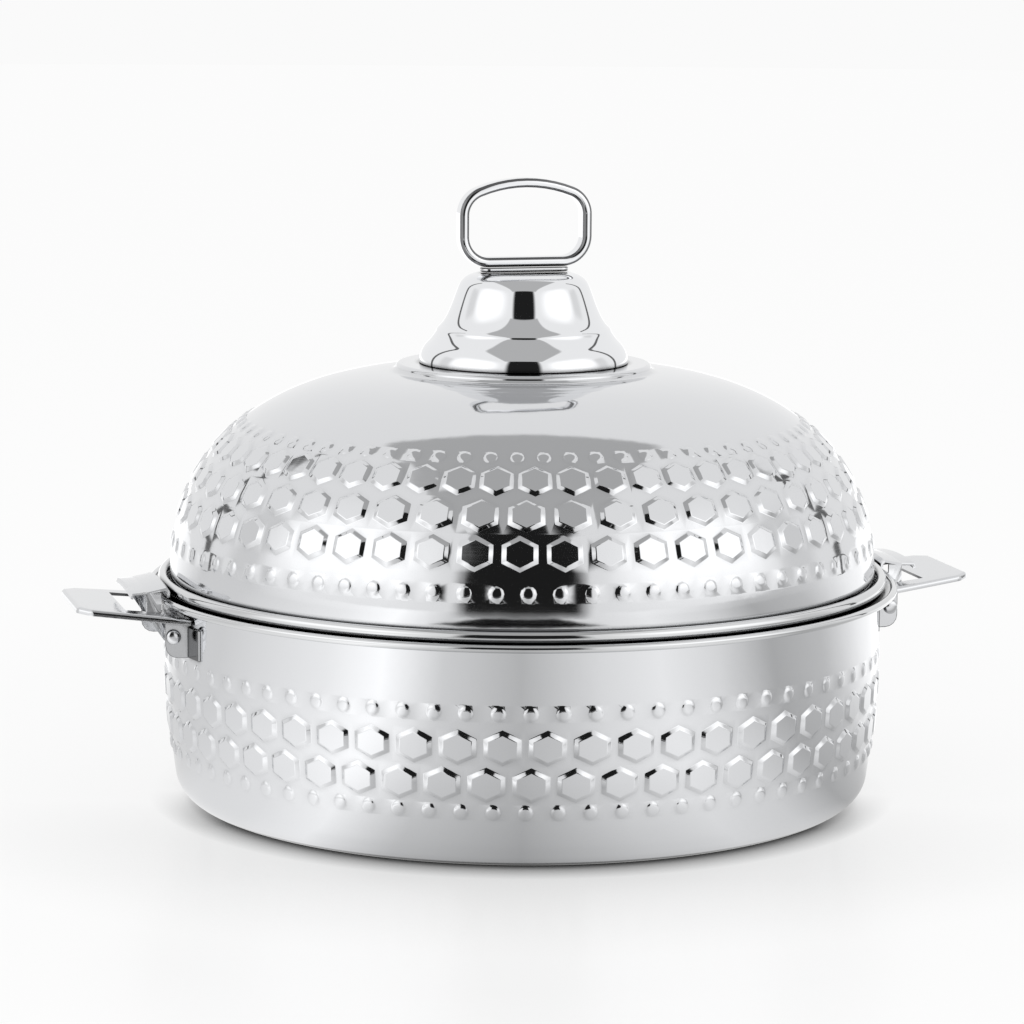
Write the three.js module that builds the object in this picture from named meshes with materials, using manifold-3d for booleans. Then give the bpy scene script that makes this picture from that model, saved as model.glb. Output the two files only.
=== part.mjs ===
// An insulated stainless steel casserole for flat breads: a double-walled bowl, a double-walled
// lid with a bell knob and ring handle, two side handles and two sprung clips that hold the lid.
// Millimetres, +Z up. The origin is the middle of the resting face, +X through the right handle.
import * as THREE from 'three';
import { mergeVertices } from 'three/addons/utils/BufferGeometryUtils.js';
import Module from 'manifold-3d';

const wasm = await Module();
wasm.setup();

// Shared sizes
const sheetWall = 1.0;
const clearance = 0.3;
const cutOverrun = 5;
const roundSides = 40;
const knobSides = 28;
const smallSides = 16;

// Bowl side: outer shell, rim and inner bowl
const wallRadius = 144.2;
const wallHeight = 62;
const waistInset = 1.0;
const waistHeight = 41;
const footInset = 14.7;
const cornerRadius = 11;
const rimHeight = 85.8;
const rimOverhang = 5.8;
const rimBeadRadius = 1.5;
const baseRecess = 1.6;
const baseRecessInset = 17.5;
const recessRun = 5;
const fillHoleRadius = 8;
const foamSideGap = 15.7;
const bowlDraft = 4;
const bowlFloorHeight = 12.5;
const bowlCornerRadius = 16;
const waistRadius = wallRadius - waistInset;
const footRadius = wallRadius - footInset;
const baseRecessRadius = footRadius - baseRecessInset;
const rimRadius = wallRadius + rimOverhang;
const bowlMouthRadius = wallRadius - foamSideGap;
const bowlFloorRadius = bowlMouthRadius - bowlDraft;

// Foam filling plug in the base
const plugFlangeRadius = 11;
const plugFlangeThickness = 1.0;
const plugLength = 5;

// Lid: outer dome, boss, liner and rolled edge
const domeInset = 2.0;
const domeFootRise = 6;
const domeRise = 79.8;
const domeSideInset = 0.7;
const domeSideShare = 0.454;
const domeShoulderShare = 0.83;
const domeShoulderRiseShare = 0.942;
const bossRadius = 50;
const bossRun = 4;
const bossRise = 3.1;
const bossRound = 1.6;
const lidBeadOverhang = 2.8;
const lidBeadHalfWidth = 2.0;
const lidBeadHalfHeight = 2.4;
const linerLipDepth = 5;
const linerLipWall = 1.6;
const linerFit = 0.9;
const linerDrop = 16.2;
const linerShoulderShare = 0.841;
const linerSideShare = 0.457;
const foamPocketGap = 3;
const domeFootRadius = wallRadius - domeInset;
const domeFootHeight = rimHeight + domeFootRise;
const domeSideRadius = domeFootRadius - domeSideInset;
const domeSideHeight = domeFootHeight + domeRise * domeSideShare;
const domeShoulderRadius = domeFootRadius * domeShoulderShare;
const domeShoulderHeight = domeFootHeight + domeRise * domeShoulderRiseShare;
const bossFootRadius = bossRadius + bossRun;
const bossFootHeight = domeFootHeight + domeRise;
const bossHeight = bossFootHeight + bossRise;
const lidBeadRadius = domeFootRadius + lidBeadOverhang;
const linerTopHeight = bossHeight - linerDrop;

// Knob: bell, threaded nut, bolt, washer, saddle and ring
const bellInset = 8;
const bellHeight = 36;
const bellWall = 1.2;
const nutRadius = 7;
const nutLength = 14;
const boltRadius = 3;
const boltHoleGap = 0.4;
const boltHeadRadius = 6.2;
const boltHeadHeight = 4;
const washerRadius = 11;
const washerThickness = 1.2;
const saddleHalfLength = 18;
const saddleDepth = 8.4;
const saddleHeight = 1.7;
const saddleRound = 0.5;
const ringHalfWidth = 27.3;
const ringHeight = 35.4;
const ringBand = 3.9;
const ringDepth = 8.4;
const ringRound = 1.1;
const ringLowCorner = 12;
const ringHighCorner = 12;
const ringArchRadius = 54;
const archShare = 0.5;
const bellFootRadius = bossRadius - bellInset;
const boltHoleRadius = boltRadius + boltHoleGap;

// Side handles: tilted plate with a window, on two welded ears
const plateDrop = 3.8;
const plateTilt = 6.5;
const plateLength = 34.5;
const plateThickness = 1.2;
const plateSkirt = 2.4;
const plateRootHalfWidth = 31;
const plateTipHalfWidth = 26.5;
const plateCorner = 5;
const windowLength = 15.5;
const windowHalfWidth = 20.6;
const earWall = 1.2;
const earStandOff = 7;
const earDepth = 16.5;
const earRound = 5;
const earFlange = 9;
const earFlangeDrop = 4.5;
const plateRootRadius = rimRadius;
const plateRootHeight = rimHeight - plateDrop;
const plateTipRadius = plateRootRadius + plateLength;
const windowNear = plateRootRadius;
const windowFar = windowNear + windowLength;
const earReach = wallRadius + earStandOff;
const earLow = plateRootHeight - earDepth;
const earFlangeTop = plateRootHeight - earFlangeDrop;

// Lid clips with their pins and springs
const pinStandOff = 3.8;
const pinDrop = 8;
const pinRadius = 1.5;
const pinHeadRadius = 2.8;
const pinHeadHeight = 1.6;
const pinDomeShare = 0.62;
const clipWall = 1.0;
const clipSideGap = 1.6;
const clipBeadGap = 0.5;
const clipRimGap = 0.4;
const clipNoseDepth = 4.3;
const clipBendRun = 1.5;
const clipRoofRun = 9.1;
const clipKneeDrop = 1.6;
const clipLipRun = 5.6;
const clipLipDrop = 0.2;
const clipEndRun = 0.8;
const clipEndDrop = 2;
const clipEyeRadius = 3;
const clipArmBendRise = 5.5;
const clipArmWaistRise = 8.5;
const springWire = 0.9;
const springFit = 0.35;
const springPitch = 1.5;
const springTurns = 6;
const springWallLegAngle = 35;
const springRoofLegAngle = 11.6;
const pinReach = wallRadius + pinStandOff;
const pinHeight = plateRootHeight - pinDrop;
const clipHalfWidth = windowHalfWidth - clipSideGap;
const clipNoseReach = lidBeadRadius + lidBeadHalfWidth + clipBeadGap;
const clipNoseLow = rimHeight + rimBeadRadius + clipRimGap;
const clipNoseTop = clipNoseLow + clipNoseDepth;
const clipKneeReach = clipNoseReach + clipRoofRun;
const clipKneeHeight = clipNoseTop - clipKneeDrop;
const clipLipReach = clipKneeReach + clipLipRun;
const clipLipHeight = clipKneeHeight - clipLipDrop;
const clipEndReach = clipLipReach + clipEndRun;
const clipEndHeight = clipLipHeight - clipEndDrop;
const clipArmInner = pinReach + clipEyeRadius;
const clipArmBendHeight = pinHeight + clipArmBendRise;
const clipArmWaistHeight = pinHeight + clipArmWaistRise;
const springMeanRadius = pinRadius + springWire / 2 + springFit;

// Finishes
const finishes = {
  shell: { color: 0xd9dadb, roughness: 0.2, metalness: 1 },
  bowl: { color: 0xd2d3d4, roughness: 0.3, metalness: 1 },
  knob: { color: 0xe2e3e4, roughness: 0.08, metalness: 1 },
  fitting: { color: 0xcdced0, roughness: 0.22, metalness: 1 },
  spring: { color: 0xa9abad, roughness: 0.35, metalness: 1 },
  foam: { color: 0xe8dcb4, roughness: 0.95, metalness: 0 },
  plug: { color: 0x2b2c2e, roughness: 0.6, metalness: 0 },
};

const radians = THREE.MathUtils.degToRad;
const up = new THREE.Vector3(0, 0, 1);

function piece(name, geometry, finish) {
  const mesh = new THREE.Mesh(geometry, new THREE.MeshStandardMaterial(finishes[finish]));
  mesh.name = name;
  return mesh;
}

// Points of an arc about a centre, both angles in degrees
function arc(x, y, radius, from, to, steps) {
  const points = [];
  for (let i = 0; i <= steps; i += 1) {
    const angle = radians(from + (to - from) * i / steps);
    points.push(new THREE.Vector2(x + radius * Math.cos(angle), y + radius * Math.sin(angle)));
  }
  return points;
}

const at = (x, y) => new THREE.Vector2(x, y);

// The line beside a polyline, to its left for a positive distance, mitred at the corners
function beside(points, distance) {
  return points.map((point, i) => {
    const before = points[Math.max(i - 1, 0)];
    const after = points[Math.min(i + 1, points.length - 1)];
    const arriving = (i > 0 ? point.clone().sub(before) : after.clone().sub(point)).normalize();
    const leaving = (i < points.length - 1 ? after.clone().sub(point) : arriving.clone()).normalize();
    const middle = arriving.clone().add(leaving).normalize();
    const normal = at(-middle.y, middle.x);
    const stretch = distance / Math.max(middle.dot(arriving), 0.5);
    const moved = point.clone().addScaledVector(normal, stretch);
    moved.x = point.x === 0 ? 0 : moved.x;
    return moved;
  });
}

function cubic(start, pull, push, end, steps) {
  return new THREE.CubicBezierCurve(start, pull, push, end).getPoints(steps);
}

// A profile in radius and height turned about Z. It closes on the axis or on itself.
function turned(profile, sides = roundSides) {
  const onAxis = profile[0].x === 0 && profile[profile.length - 1].x === 0;
  const loop = onAxis ? profile : [...profile, profile[0]];
  const area = loop.reduce((sum, p, i) => {
    const q = loop[(i + 1) % loop.length];
    return sum + p.x * q.y - q.x * p.y;
  }, 0);
  const geometry = new THREE.LatheGeometry(area > 0 ? loop : [...loop].reverse(), sides);
  return geometry.rotateX(Math.PI / 2);
}

// A closed outline in X and Z, extruded along Y about its middle
function slab(outline, depth) {
  const geometry = new THREE.ExtrudeGeometry(new THREE.Shape(outline), { depth, bevelEnabled: false });
  return geometry.rotateX(Math.PI / 2).translate(0, depth / 2, 0);
}

function solid(geometry) {
  const bare = geometry.clone();
  bare.deleteAttribute('normal');
  bare.deleteAttribute('uv');
  const merged = mergeVertices(bare);
  const triVerts = Uint32Array.from(merged.index.array);
  const vertProperties = Float32Array.from(merged.attributes.position.array);
  return new wasm.Manifold(new wasm.Mesh({ numProp: 3, vertProperties, triVerts }));
}

function surface(manifold) {
  const mesh = manifold.getMesh();
  const geometry = new THREE.BufferGeometry();
  geometry.setAttribute('position', new THREE.BufferAttribute(Float32Array.from(mesh.vertProperties), 3));
  geometry.setIndex(new THREE.BufferAttribute(Uint32Array.from(mesh.triVerts), 1));
  geometry.computeVertexNormals();
  return geometry;
}

// A solid round bar about Z between two heights, for cutting
function bar(radius, low, high, sides = roundSides) {
  return solid(turned([at(0, low), at(radius, low), at(radius, high), at(0, high)], sides));
}

// Outline of the outer shell, from the filling hole out along the base and up the wall
const flangeLow = rimHeight - sheetWall / 2;
const flangeHigh = rimHeight + sheetWall / 2;
const shellTop = flangeLow - clearance;
const shellOuter = [
  at(fillHoleRadius, baseRecess),
  at(baseRecessRadius, baseRecess),
  at(baseRecessRadius + recessRun, 0),
  ...arc(footRadius, cornerRadius, cornerRadius, -90, -8, 4),
  at(waistRadius, waistHeight),
  at(wallRadius, wallHeight),
  at(wallRadius, shellTop),
];
const shellInner = beside(shellOuter, sheetWall);

// Outline of the bowl's food side, from the axis out along the floor and up to the mouth
const mouthRound = rimBeadRadius;
const bowlCornerCentre = bowlFloorRadius - bowlCornerRadius;
const bowlInner = [
  at(0, bowlFloorHeight),
  ...arc(bowlCornerCentre, bowlFloorHeight + bowlCornerRadius, bowlCornerRadius, -90, -4, 3),
  ...arc(bowlMouthRadius + mouthRound, flangeHigh - mouthRound, mouthRound, 180, 90, 2),
];
const bowlOuter = beside(bowlInner, -sheetWall);

function outerShell() {
  return turned([...shellOuter, ...shellInner.toReversed()]);
}

function innerBowl() {
  const seam = Math.asin(sheetWall / 2 / rimBeadRadius) * 180 / Math.PI;
  const bead = arc(rimRadius, rimHeight, rimBeadRadius, 180 - seam, seam - 180, 7);
  return turned([...bowlInner, ...bead, ...bowlOuter.toReversed()]);
}

function bodyInsulation() {
  const outside = beside(shellInner, clearance).filter((p) => p.x > plugFlangeRadius);
  const inside = beside(bowlOuter, -clearance).filter((p) => p.x > plugFlangeRadius);
  const low = at(plugFlangeRadius, outside[0].y);
  const high = at(plugFlangeRadius, bowlFloorHeight - sheetWall - clearance);
  const top = outside[outside.length - 1].y;
  const below = inside.filter((p) => p.y < top);
  const mouth = at(below[below.length - 1].x, top);
  return turned([low, ...outside, mouth, ...below.toReversed(), high]);
}

// A snap plug: a thin flange under the base recess and a hollow stem through the filling hole
function foamFillPlug() {
  const stemRadius = fillHoleRadius - clearance;
  const flangeTop = baseRecess - clearance;
  const flangeFoot = flangeTop - plugFlangeThickness;
  const stemTop = baseRecess + plugLength;
  return turned([
    at(0, flangeFoot),
    at(plugFlangeRadius - plugFlangeThickness / 2, flangeFoot),
    at(plugFlangeRadius, flangeTop),
    at(stemRadius, flangeTop),
    at(stemRadius, stemTop),
    at(stemRadius - sheetWall, stemTop),
    at(stemRadius - sheetWall, flangeTop),
    at(0, flangeTop),
  ], smallSides);
}

// Outline of the lid's outer dome, from its lower edge up over the boss to the bolt hole
const linerFlangeLow = flangeHigh + clearance;
const linerFlangeHigh = linerFlangeLow + sheetWall;
const domeOuter = [
  at(domeFootRadius, linerFlangeHigh + clearance),
  ...cubic(
    at(domeFootRadius, domeFootHeight),
    at(domeSideRadius, domeSideHeight),
    at(domeShoulderRadius, domeShoulderHeight),
    at(bossFootRadius, bossFootHeight),
    8,
  ),
  at(bossRadius + bossRound / 2, bossHeight - bossRound / 2),
  at(bossRadius - bossRound / 2, bossHeight),
  at(boltHoleRadius, bossHeight),
];
const domeInner = beside(domeOuter, sheetWall);

// Outline of the liner's food side, from the lip that enters the bowl up to the axis
const lipOuterRadius = bowlMouthRadius - linerFit;
const lipInnerRadius = lipOuterRadius - linerLipWall;
const lipLow = linerFlangeLow - linerLipDepth;
const linerRise = linerTopHeight - linerFlangeHigh;
const linerInner = [
  at(lipInnerRadius, lipLow),
  ...cubic(
    at(lipInnerRadius, linerFlangeHigh),
    at(lipInnerRadius, linerFlangeHigh + linerRise * linerSideShare),
    at(lipInnerRadius * linerShoulderShare, linerTopHeight),
    at(0, linerTopHeight),
    7,
  ),
];
const linerOuter = beside(linerInner.slice(1), -sheetWall);

function lidShell() {
  return turned([...domeOuter, ...domeInner.toReversed()]);
}

function lidLiner() {
  const beadHeight = linerFlangeLow + lidBeadHalfHeight;
  const edge = arc(0, 0, 1, -140, 130, 7).map((p) => at(
    lidBeadRadius + lidBeadHalfWidth * p.x,
    beadHeight + lidBeadHalfHeight * p.y,
  ));
  const crook = at(lidBeadRadius - lidBeadHalfWidth / 2, linerFlangeHigh);
  return turned([
    ...linerInner.toReversed(),
    at(lipOuterRadius, lipLow),
    at(lipOuterRadius, linerFlangeLow),
    at(edge[0].x, linerFlangeLow),
    ...edge,
    crook,
    at(linerOuter[0].x, linerFlangeHigh),
    ...linerOuter.slice(1),
  ]);
}

function lidInsulation() {
  const pocket = washerRadius + foamPocketGap;
  const over = beside(domeInner, clearance).filter((p) => p.x > pocket);
  const under = beside(linerOuter, -clearance).filter((p) => p.x > pocket);
  const foot = linerFlangeHigh + clearance;
  const outside = [at(over[0].x, foot), ...over.filter((p) => p.y > foot)];
  const inside = [at(under[0].x, foot), ...under.filter((p) => p.y > foot)];
  return turned([
    ...outside,
    at(pocket, bossHeight - sheetWall - clearance),
    at(pocket, linerTopHeight + sheetWall + clearance),
    ...inside.toReversed(),
  ]);
}

// The bell's outline as shares of its foot radius and height, from the foot up to the crown
const bellOutlineShares = [
  [1, 0], [0.99, 0.08], [0.94, 0.19], [0.87, 0.28], [0.83, 0.355], [0.79, 0.395],
  [0.745, 0.46], [0.7, 0.62], [0.65, 0.8], [0.6, 0.9], [0.53, 0.965], [0.4, 1], [0, 1],
];
const bellFoot = bossHeight + clearance;
const bellTop = bellFoot + bellHeight;
const bellOuter = bellOutlineShares.map(([across, along]) => (
  at(bellFootRadius * across, bellFoot + bellHeight * along)
));
const nutFoot = bellTop - bellWall - clearance - nutLength;

function knobBell() {
  return turned([...bellOuter, ...beside(bellOuter, bellWall).toReversed()], knobSides);
}

// A round threaded nut under the bell's crown, with a blind hole from below
function knobNut() {
  const holeRadius = boltRadius + clearance;
  const holeTop = nutFoot + nutLength - bellWall;
  return turned([
    at(holeRadius, nutFoot),
    at(nutRadius, nutFoot),
    at(nutRadius, nutFoot + nutLength),
    at(0, nutFoot + nutLength),
    at(0, holeTop),
    at(holeRadius, holeTop),
  ], smallSides);
}

const washerTop = bossHeight - sheetWall - clearance;
const washerFoot = washerTop - washerThickness;

function knobWasher() {
  return turned([
    at(boltHoleRadius, washerFoot),
    at(washerRadius, washerFoot),
    at(washerRadius, washerTop),
    at(boltHoleRadius, washerTop),
  ], smallSides);
}

// A bolt with a six-sided head under the washer, its shank up through the lid into the nut
function knobBolt() {
  const headTop = washerFoot - clearance;
  const shankTop = nutFoot + nutLength - bellWall - clearance;
  const head = bar(boltHeadRadius, headTop - boltHeadHeight, headTop, 6);
  const shank = bar(boltRadius, headTop - boltHeadHeight / 2, shankTop, smallSides);
  return surface(head.add(shank));
}

const saddleFoot = bellTop + clearance;
const ringFoot = saddleFoot + saddleHeight + clearance;

// The saddle is a low rounded bar across the bell's crown
function knobSaddle() {
  const middle = saddleFoot + saddleHeight / 2;
  const radius = saddleHeight / 2;
  const end = saddleHalfLength - radius;
  const outline = [
    ...arc(end, middle, radius - saddleRound, -90, 90, 4),
    ...arc(-end, middle, radius - saddleRound, 90, 270, 4),
  ];
  return rounded(new THREE.Shape(outline), saddleDepth, saddleRound);
}

// A closed shape extruded along Y to a full depth, its edges rounded outwards by a bevel
function rounded(shape, depth, round) {
  const geometry = new THREE.ExtrudeGeometry(shape, {
    depth: depth - 2 * round,
    bevelThickness: round,
    bevelSize: round,
    bevelSegments: 2,
    curveSegments: 1,
  });
  return geometry.rotateX(Math.PI / 2).translate(0, depth / 2 - round, 0);
}

// One closed line round the ring handle, in by a margin from its outer edge
function ringLine(margin) {
  const half = ringHalfWidth - margin;
  const low = ringFoot + margin;
  const lowCorner = ringLowCorner - margin;
  const highCorner = ringHighCorner - margin;
  const cornerReach = ringHalfWidth - ringHighCorner;
  const centresApart = ringArchRadius - ringHighCorner;
  const lean = Math.asin(cornerReach / centresApart) * 180 / Math.PI;
  const archCentre = ringFoot + ringHeight - ringArchRadius;
  const cornerCentre = archCentre + Math.sqrt(centresApart ** 2 - cornerReach ** 2);
  const line = [
    ...arc(half - lowCorner, low + lowCorner, lowCorner, -90, 0, 4),
    ...arc(cornerReach, cornerCentre, highCorner, 0, 90 - lean, 4),
    ...arc(0, archCentre, ringArchRadius - margin, 90 - lean * archShare, 90 + lean * archShare, 2),
    ...arc(-cornerReach, cornerCentre, highCorner, 90 + lean, 180, 4),
    ...arc(lowCorner - half, low + lowCorner, lowCorner, 180, 270, 4),
  ];
  return line;
}

function ringHandle() {
  const shape = new THREE.Shape(ringLine(ringRound));
  shape.holes.push(new THREE.Path(ringLine(ringBand - ringRound)));
  return rounded(shape, ringDepth, ringRound);
}

const wallCut = bar(wallRadius + clearance, earLow - cutOverrun, flangeLow);
const wallStart = Math.sqrt(wallRadius ** 2 - plateRootHalfWidth ** 2) - cutOverrun;
const slope = Math.tan(radians(plateTilt));
const plateTop = (reach) => plateRootHeight + (reach - plateRootRadius) * slope;
const taper = (plateRootHalfWidth - plateTipHalfWidth) / (plateTipRadius - plateCorner - plateRootRadius);
const plateHalf = (reach) => plateRootHalfWidth - (reach - plateRootRadius) * taper;
const cheekOuter = plateHalf(earReach) - plateThickness - clearance;
const cheekInner = cheekOuter - earWall;

// The plate's outline seen from above, in by a margin, from root to tip
function plateOutline(margin, rootReach) {
  const tip = plateTipHalfWidth - margin;
  const root = plateHalf(rootReach) - margin;
  const end = plateTipRadius - margin;
  return [
    at(rootReach, -root),
    at(end - plateCorner, -tip),
    at(end, plateCorner - tip),
    at(end, tip - plateCorner),
    at(end - plateCorner, tip),
    at(rootReach, root),
  ];
}

// Flat outlines extruded upwards from a height
function layer(outline, low, thickness) {
  const shape = new THREE.Shape(outline);
  const geometry = new THREE.ExtrudeGeometry(shape, { depth: thickness, bevelEnabled: false });
  return solid(geometry.translate(0, 0, low));
}

// The handle plate: sheet with a folded-down edge and a window for the clip, tilted at its root
function handlePlate() {
  const sheet = layer(plateOutline(0, wallStart), -plateSkirt, plateSkirt);
  const hollow = plateOutline(plateThickness, wallStart - cutOverrun);
  const pocket = layer(hollow, -plateSkirt - cutOverrun, plateSkirt + cutOverrun - plateThickness);
  const opening = [
    at(windowNear, -windowHalfWidth),
    at(windowFar, -windowHalfWidth),
    at(windowFar, windowHalfWidth),
    at(windowNear, windowHalfWidth),
  ];
  const window = layer(opening, -plateSkirt - cutOverrun, plateSkirt + 2 * cutOverrun);
  const flat = surface(sheet.subtract(pocket).subtract(window));
  flat.translate(-plateRootRadius, 0, 0).rotateY(-radians(plateTilt));
  flat.translate(plateRootRadius, 0, plateRootHeight);
  return surface(solid(flat).subtract(wallCut));
}

// A cutter for the holes that the pin passes through
function pinHole(length) {
  return solid(slab(arc(pinReach, pinHeight, pinRadius + clearance, 0, 342, 19), length));
}

// A welded ear: a cheek that stands out under the plate, and a flange on the bowl's wall
function ear(side) {
  const top = (reach) => plateTop(reach) - plateThickness / Math.cos(radians(plateTilt)) - clearance;
  const outline = [
    at(wallStart, earLow),
    ...arc(earReach - earRound, earLow + earRound, earRound, -90, 0, 4),
    at(earReach, top(earReach)),
    at(wallStart, top(wallStart)),
  ];
  const cheek = solid(slab(outline, earWall).translate(0, side * (cheekInner + earWall / 2), 0));
  const bore = pinHole(2 * cutOverrun).translate(0, side * cheekInner, 0);
  const inside = wallRadius + clearance;
  const ring = solid(turned([
    at(inside, earLow),
    at(inside + earWall, earLow),
    at(inside + earWall, earFlangeTop),
    at(inside, earFlangeTop),
  ]));
  const near = side * cheekInner;
  const far = side * (cheekOuter + earFlange);
  const patch = layer([
    at(0, Math.min(near, far)),
    at(rimRadius, Math.min(near, far)),
    at(rimRadius, Math.max(near, far)),
    at(0, Math.max(near, far)),
  ], earLow - cutOverrun, earFlangeTop - earLow + 2 * cutOverrun);
  return surface(cheek.subtract(wallCut).add(ring.intersect(patch)).subtract(bore));
}

// A rivet-headed pin through both cheeks
function clipPin() {
  const head = cheekOuter + clearance;
  const end = head + pinHeadHeight;
  const dome = pinHeadRadius * pinDomeShare;
  const half = [
    at(pinRadius, head),
    at(pinHeadRadius, head),
    at(pinHeadRadius, head + pinHeadHeight / 2),
    at(dome, end),
  ];
  const far = half.map((p) => at(p.x, -p.y)).toReversed();
  const profile = [at(0, -end), ...far, ...half, at(0, end)];
  return turned(profile, smallSides).rotateX(Math.PI / 2).translate(pinReach, 0, pinHeight);
}

// A bent sheet clip: nose, roof and turned-down thumb lip in one strip, with two arms down to the pin
function clip() {
  const line = [
    at(clipNoseReach, clipNoseLow),
    at(clipNoseReach, clipNoseTop - clipBendRun),
    at(clipNoseReach + clipBendRun, clipNoseTop),
    at(clipKneeReach, clipKneeHeight),
    at(clipLipReach, clipLipHeight),
    at(clipEndReach, clipEndHeight),
  ];
  const strip = solid(slab([...line, ...beside(line, -clipWall).toReversed()], 2 * clipHalfWidth));
  const armOutline = [
    at(clipArmInner, clipKneeHeight - clipWall / 2),
    at(clipArmInner, clipArmBendHeight),
    ...arc(pinReach, pinHeight, clipEyeRadius, 165, 360, 9),
    at(clipKneeReach, clipArmWaistHeight),
    at(clipKneeReach, clipKneeHeight - clipWall / 2),
  ];
  const armPlace = clipHalfWidth - clipWall / 2;
  const eye = pinHole(4 * clipHalfWidth);
  const arms = [-armPlace, armPlace].map((y) => solid(slab(armOutline, clipWall).translate(0, y, 0)));
  return surface(strip.add(arms[0]).add(arms[1]).subtract(eye));
}

// The path of the torsion spring: a leg on the wall, the coil on the pin, a leg under the roof
class SpringPath extends THREE.Curve {
  constructor() {
    super();
    this.first = -radians(springWallLegAngle);
    this.last = 2 * Math.PI * springTurns - radians(springRoofLegAngle);
    this.rise = springPitch / (2 * Math.PI);
    this.coil = (this.last - this.first) * Math.hypot(springMeanRadius, this.rise);
    const fromWall = pinReach + springMeanRadius * Math.cos(this.first) - wallRadius - clearance - springWire;
    this.wallLeg = fromWall / Math.sin(-this.first);
    const toRoof = clipKneeHeight - clipWall - clearance - pinHeight - springMeanRadius * Math.sin(this.last);
    this.roofLeg = toRoof / Math.cos(this.last);
    this.total = this.wallLeg + this.coil + this.roofLeg;
    this.middle = this.rise * (this.first + this.last) / 2;
  }

  onCoil(angle) {
    const across = springMeanRadius * Math.cos(angle);
    const along = this.rise * angle - this.middle;
    return new THREE.Vector3(across, along, springMeanRadius * Math.sin(angle));
  }

  heading(angle) {
    const turn = new THREE.Vector3(-Math.sin(angle), 0, Math.cos(angle)).multiplyScalar(springMeanRadius);
    return turn.addScaledVector(new THREE.Vector3(0, 1, 0), this.rise).normalize();
  }

  getPoint(t, target = new THREE.Vector3()) {
    const run = t * this.total - this.wallLeg;
    const angle = this.first + (this.last - this.first) * Math.min(Math.max(run / this.coil, 0), 1);
    const beyond = run - this.coil * Math.min(Math.max(run / this.coil, 0), 1);
    return target.copy(this.onCoil(angle)).addScaledVector(this.heading(angle), beyond);
  }
}

// The least distance between points of the spring that lie over half a turn apart
function springGap(path) {
  const count = springTurns * 24;
  const points = path.getPoints(count);
  const apart = Math.ceil(Math.PI * springMeanRadius / (path.total / count));
  let least = Infinity;
  points.forEach((point, i) => {
    for (let k = i + apart; k < points.length; k += 1) {
      least = Math.min(least, point.distanceTo(points[k]));
    }
  });
  return least - springWire;
}

function clipSpring() {
  const path = new SpringPath();
  console.log(`spring: least gap to itself ${springGap(path).toFixed(2)} mm`);
  const wire = new THREE.Shape(arc(0, 0, springWire / 2, 0, 288, 4));
  const steps = Math.round(path.total / (path.coil / (springTurns * 8)));
  const geometry = new THREE.ExtrudeGeometry(wire, { steps, extrudePath: path, curveSegments: 1 });
  return geometry.translate(pinReach, 0, pinHeight);
}

// One handle with its ears, clip, pin and spring, turned about Z to its side of the bowl
function handleSide(name, turn, earNames) {
  const side = new THREE.Group();
  side.add(
    piece(`${name}_handle_plate`, handlePlate(), 'fitting'),
    piece(`${name}_${earNames[0]}_ear`, ear(-1), 'fitting'),
    piece(`${name}_${earNames[1]}_ear`, ear(1), 'fitting'),
    piece(`${name}_clip`, clip(), 'fitting'),
    piece(`${name}_clip_pin`, clipPin(), 'fitting'),
    piece(`${name}_clip_spring`, clipSpring(), 'spring'),
  );
  side.quaternion.setFromAxisAngle(up, turn);
  return side;
}

const bowl = new THREE.Group();
bowl.add(
  piece('outer_shell', outerShell(), 'shell'),
  piece('inner_bowl', innerBowl(), 'bowl'),
  piece('body_insulation', bodyInsulation(), 'foam'),
  piece('foam_fill_plug', foamFillPlug(), 'plug'),
);

const lid = new THREE.Group();
lid.add(
  piece('lid_shell', lidShell(), 'shell'),
  piece('lid_liner', lidLiner(), 'bowl'),
  piece('lid_insulation', lidInsulation(), 'foam'),
  piece('knob_bell', knobBell(), 'knob'),
  piece('knob_nut', knobNut(), 'fitting'),
  piece('knob_washer', knobWasher(), 'fitting'),
  piece('knob_bolt', knobBolt(), 'fitting'),
  piece('knob_saddle', knobSaddle(), 'knob'),
  piece('ring_handle', ringHandle(), 'knob'),
);

const casserole = new THREE.Group();
casserole.add(
  bowl,
  lid,
  handleSide('right', 0, ['front', 'rear']),
  handleSide('left', Math.PI, ['rear', 'front']),
);

export default casserole;
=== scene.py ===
# %% [markdown]
# # An insulated casserole for flat breads
# The real one is a double-walled bowl and a double-walled lid of pressed stainless steel, filled
# with foam. A bell knob with a ring handle lifts the lid, and two sprung clips in the side
# handles hold it down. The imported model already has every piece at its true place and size, so
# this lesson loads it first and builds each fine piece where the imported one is.

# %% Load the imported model
import math
from bisect import bisect_right

import bmesh
import bpy
from mathutils import Matrix, Quaternion, Vector
from mathutils.geometry import interpolate_bezier


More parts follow.
